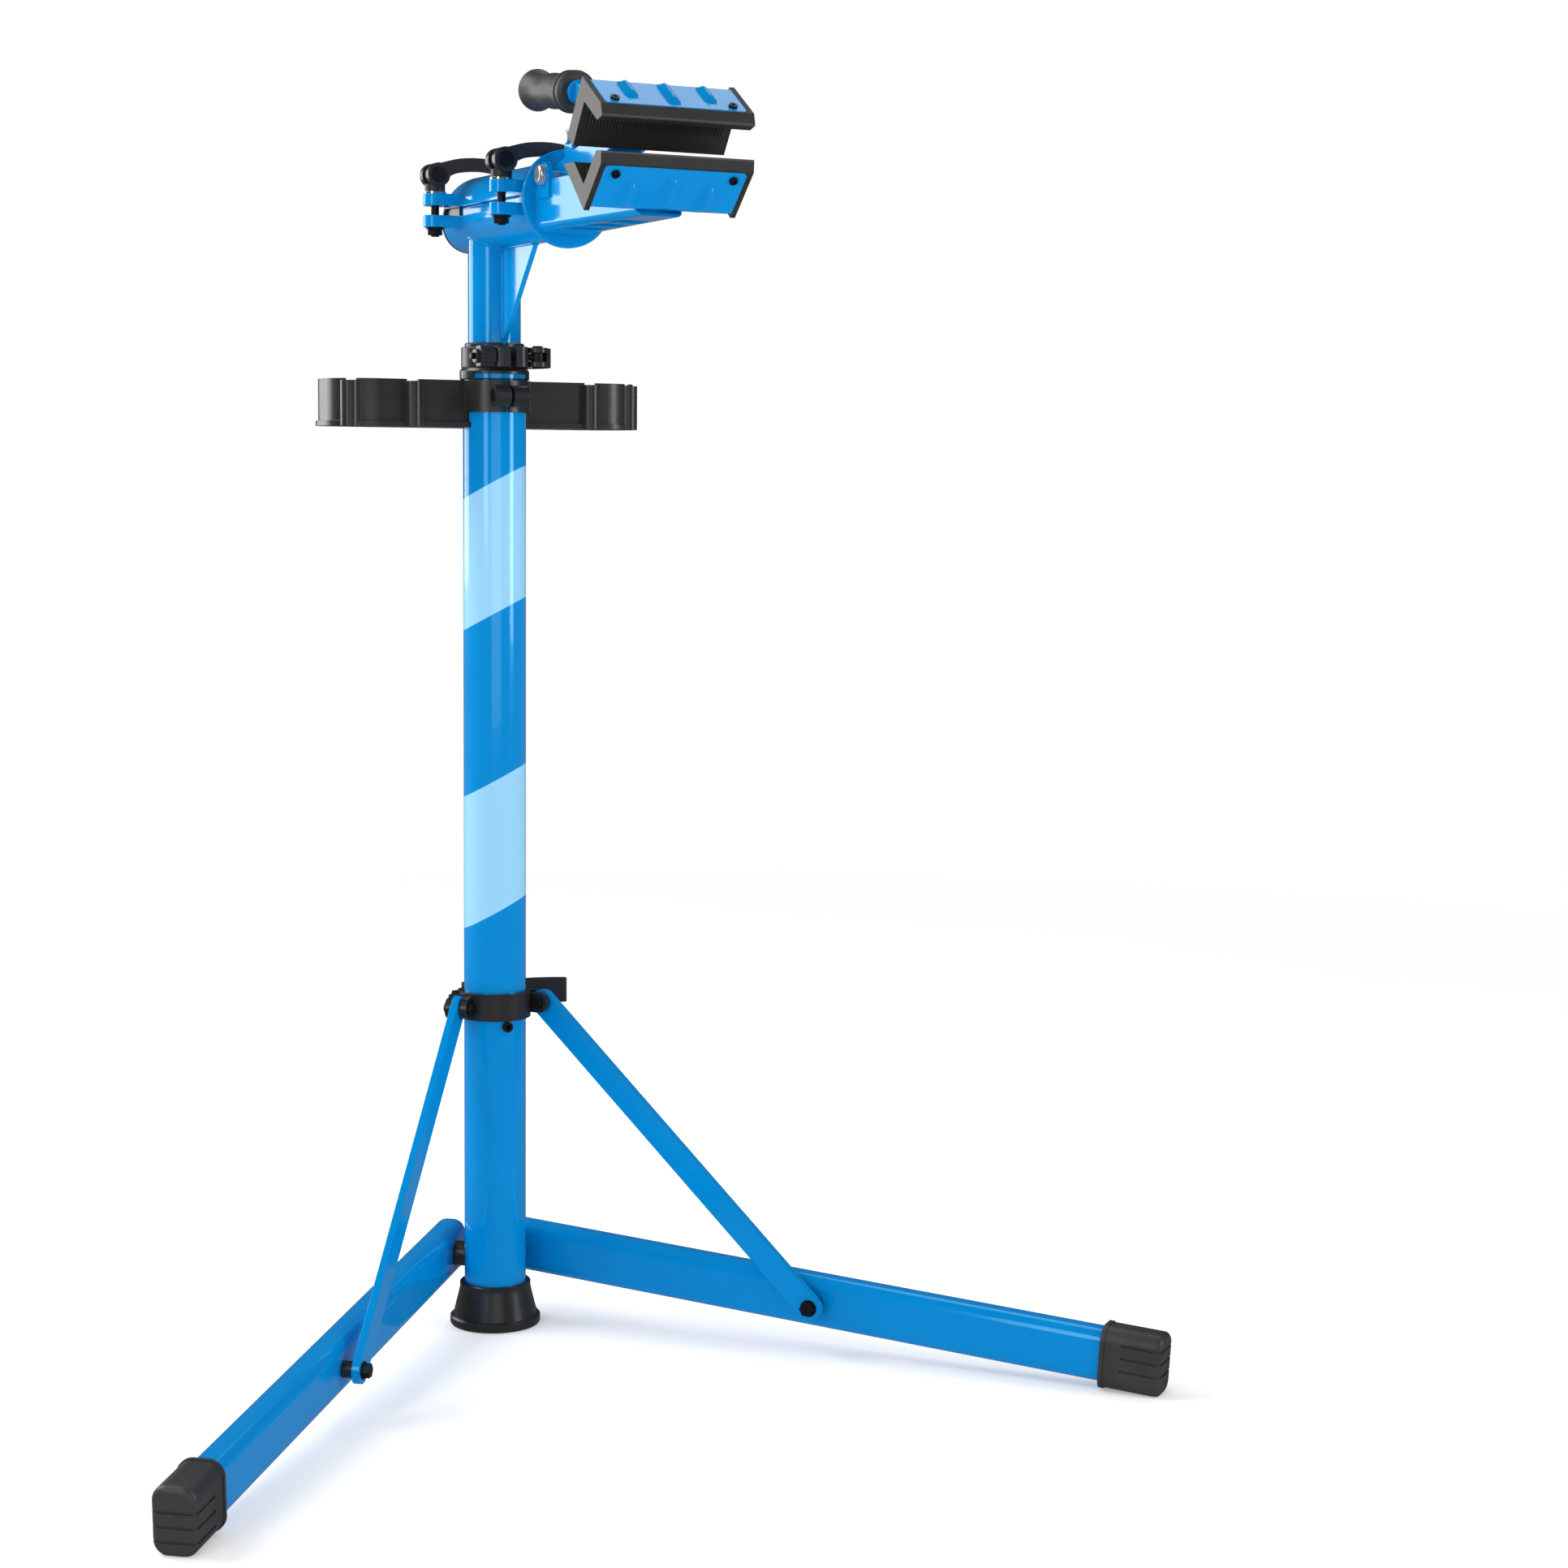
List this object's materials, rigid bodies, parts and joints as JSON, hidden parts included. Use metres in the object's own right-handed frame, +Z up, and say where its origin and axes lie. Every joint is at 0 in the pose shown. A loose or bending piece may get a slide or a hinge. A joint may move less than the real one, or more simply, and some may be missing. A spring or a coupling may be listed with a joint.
{
  "type": "bike repair stand",
  "caption": "Folding bicycle repair stand: height-adjustable mast on two folding legs, tool tray and a rotating clamp arm with padded V jaws.",
  "frame": {"origin": "centre of the mast foot's underside, on the floor", "axes": "+Z up the mast, -Y along the clamp arm towards the jaws, +X to the arm's left, the cam clamps of the head standing on the -X side"},
  "size_m": [0.9484, 0.5869, 1.1965],
  "materials": {
    "blue_paint": "gloss",
    "black_plastic": "satin",
    "black_rubber": "matte",
    "black_steel": "satin",
    "chrome": "polished"
  },
  "bodies": {
    "mast": {"outer_mast_tube": "blue_paint", "mast_foot": "black_plastic", "foot_screw": "black_steel", "collar_stop_screw": "black_steel", "leg_pivot_spacers": "black_plastic", "leg_pivot_bolts": "black_steel", "reducer_bush": "black_plastic", "height_clamp_band": "black_plastic", "height_clamp_bolt": "black_steel", "tool_tray": "black_plastic", "tray_clamp_bolt": "black_steel"},
    "height_lever": {"height_cam_lever": "black_plastic", "height_lever_pin": "black_steel"},
    "height_knob": {"height_clamp_knob": "black_plastic"},
    "leg_collar": {"leg_collar_band": "black_plastic", "collar_clamp_bolt": "black_steel", "collar_clamp_nut": "black_steel", "brace_top_bolts": "black_steel"},
    "collar_lever": {"collar_cam_lever": "black_plastic", "collar_lever_pin": "black_steel"},
    "left_leg": {"left_leg_tube": "blue_paint", "left_foot_cap": "black_rubber", "left_leg_plug": "black_plastic", "left_leg_stud": "black_steel"},
    "right_leg": {"right_leg_tube": "blue_paint", "right_foot_cap": "black_rubber", "right_leg_plug": "black_plastic", "right_leg_stud": "black_steel"},
    "left_brace": {"left_brace_bar": "blue_paint", "left_brace_spacer": "black_plastic", "left_brace_bolt": "black_steel"},
    "right_brace": {"right_brace_bar": "blue_paint", "right_brace_spacer": "black_plastic", "right_brace_bolt": "black_steel"},
    "mast_slider": {"inner_tube_plug": "black_plastic"},
    "upper_mast": {"inner_mast_tube": "blue_paint", "head_tube": "blue_paint", "gusset_plate": "blue_paint", "head_bushes": "black_plastic", "skewer_bolts": "black_steel", "skewer_nuts": "black_steel", "cam_cups": "chrome"},
    "rear_lever": {"rear_cam_lever": "black_plastic", "rear_cam_pin": "black_steel"},
    "front_lever": {"front_cam_lever": "black_plastic", "front_cam_pin": "black_steel"},
    "clamp_arm": {"arm_shaft": "blue_paint", "arm_channel": "blue_paint", "lower_jaw_plate": "blue_paint", "lower_jaw_pad": "black_rubber", "lower_jaw_screws": "black_steel", "jaw_pivot_pin": "chrome"},
    "upper_jaw": {"upper_jaw_arm": "blue_paint", "upper_jaw_plate": "blue_paint", "upper_jaw_pad": "black_rubber", "upper_jaw_screws": "black_steel"},
    "handle": {"handle_lever": "blue_paint", "tension_rod": "chrome", "handle_pivot_pin": "chrome"},
    "grip": {"handle_grip": "black_rubber"}
  },
  "joints": [
    {"name": "collar_slide", "type": "slide", "parent": "mast", "child": "leg_collar", "axis": [0, 0, 1], "range_m": [0, 0.4646]},
    {"name": "left_leg_fold", "type": "hinge", "parent": "mast", "child": "left_leg", "pos_m": [-0.04274, 0.03461, 0.066], "axis": [-0.7771, 0.6293, 0], "range_deg": [0, 86.81]},
    {"name": "left_brace_swing", "type": "hinge", "parent": "leg_collar", "child": "left_brace", "pos_m": [-0.0446, -0.01535, 0.318], "axis": [0.7771, -0.6293, 0], "range_deg": [0, 46.9]},
    {"name": "right_leg_fold", "type": "hinge", "parent": "mast", "child": "right_leg", "pos_m": [0.04274, 0.03461, 0.066], "axis": [-0.7771, -0.6293, 0], "range_deg": [0, 86.81]},
    {"name": "right_brace_swing", "type": "hinge", "parent": "leg_collar", "child": "right_brace", "pos_m": [0.0446, -0.01535, 0.318], "axis": [0.7771, 0.6293, 0], "range_deg": [0, 46.9]},
    {"name": "collar_lever_turn", "type": "hinge", "parent": "leg_collar", "child": "collar_lever", "pos_m": [0.028, 0.044, 0.318], "axis": [0, 0, 1], "range_deg": [0, 95]},
    {"name": "height_slide", "type": "slide", "parent": "mast", "child": "mast_slider", "axis": [0, 0, 1], "range_m": [0, 0.64]},
    {"name": "mast_swivel", "type": "hinge", "parent": "mast_slider", "child": "upper_mast", "pos_m": [0, 0, 0.5], "axis": [0, 0, 1], "continuous": true},
    {"name": "height_lever_turn", "type": "hinge", "parent": "mast", "child": "height_lever", "pos_m": [0.028, -0.039, 0.939], "axis": [0, 0, -1], "range_deg": [0, 95]},
    {"name": "height_knob_turn", "type": "hinge", "parent": "mast", "child": "height_knob", "pos_m": [-0.026, -0.039, 0.939], "axis": [-1, 0, 0], "continuous": true},
    {"name": "rear_lever_turn", "type": "hinge", "parent": "upper_mast", "child": "rear_lever", "pos_m": [-0.055, 0.012, 1.108], "axis": [0, -1, 0], "range_deg": [0, 110]},
    {"name": "front_lever_turn", "type": "hinge", "parent": "upper_mast", "child": "front_lever", "pos_m": [-0.055, -0.1525, 1.108], "axis": [0, -1, 0], "range_deg": [0, 15]},
    {"name": "arm_roll", "type": "hinge", "parent": "upper_mast", "child": "clamp_arm", "pos_m": [0, -0.08, 1.075], "axis": [0, 1, 0], "continuous": true},
    {"name": "jaw_swing", "type": "hinge", "parent": "clamp_arm", "child": "upper_jaw", "pos_m": [0, -0.193, 1.093], "axis": [-1, 0, 0], "range_deg": [-4.5, 30]},
    {"name": "handle_squeeze", "type": "hinge", "parent": "upper_jaw", "child": "handle", "pos_m": [0, -0.212, 1.124], "axis": [-1, 0, 0], "range_deg": [-60.1, 9.1]},
    {"name": "grip_turn", "type": "hinge", "parent": "handle", "child": "grip", "pos_m": [0, -0.102, 1.178], "axis": [0, -0.9925, -0.1219], "continuous": true}
  ],
  "couplings": [
    {"joint": "left_leg_fold", "follows": "collar_slide", "rad_per_m": 3.2609},
    {"joint": "left_brace_swing", "follows": "collar_slide", "rad_per_m": 1.7615},
    {"joint": "right_leg_fold", "follows": "collar_slide", "rad_per_m": 3.2609},
    {"joint": "right_brace_swing", "follows": "collar_slide", "rad_per_m": 1.7615},
    {"joint": "handle_squeeze", "follows": "jaw_swing", "ratio": -2}
  ]
}
